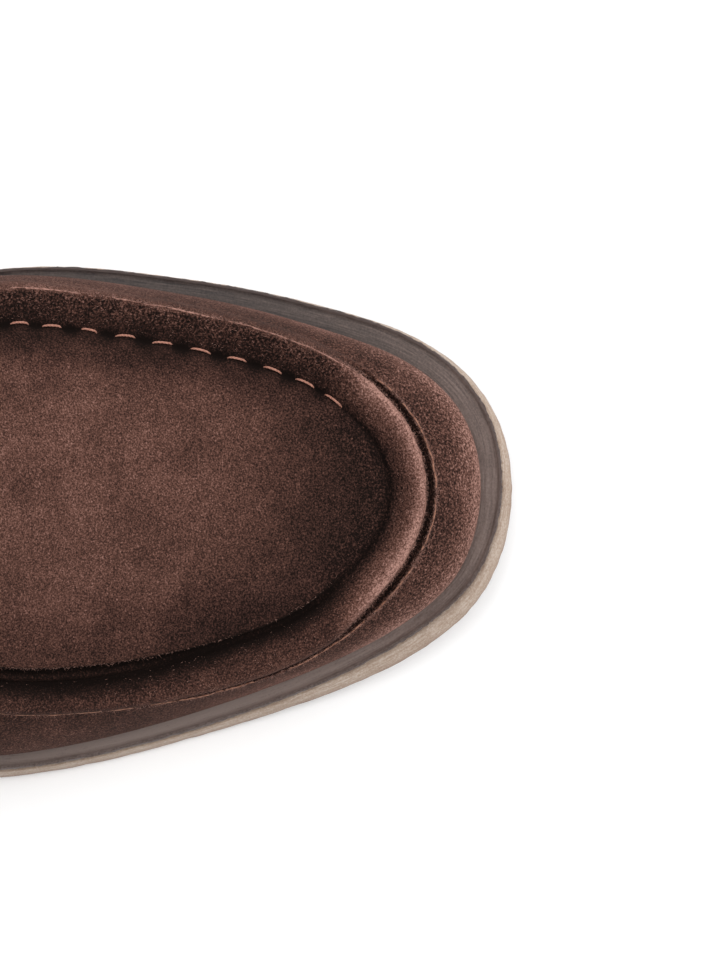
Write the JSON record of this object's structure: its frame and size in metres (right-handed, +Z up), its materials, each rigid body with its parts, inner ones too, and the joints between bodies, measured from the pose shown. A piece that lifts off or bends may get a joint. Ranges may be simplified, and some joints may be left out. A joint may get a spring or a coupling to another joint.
{
  "type": "moccasin loafer",
  "caption": "Low suede slip-on shoe with a raised rolled moccasin seam round a domed apron, on a thin layered sole with a low heel",
  "frame": {"origin": "on the floor, at the middle of the outsole's length and width", "axes": "+Z up, the toe points to -Y, the heel to +Y, +X is the medial (big toe) side of this right shoe"},
  "size_m": [0.1066, 0.3, 0.0871],
  "materials": {
    "outsole": "sanded tan crepe rubber, matte",
    "heel": "sanded tan rubber, matte",
    "midsole": "dark brown leather, low sheen",
    "insole": "brown leather, smooth",
    "upper": "dark brown suede, napped"
  },
  "bodies": {
    "root": {"outsole": "outsole", "heel": "heel", "midsole": "midsole", "insole": "insole", "upper": "upper"}
  },
  "joints": []
}
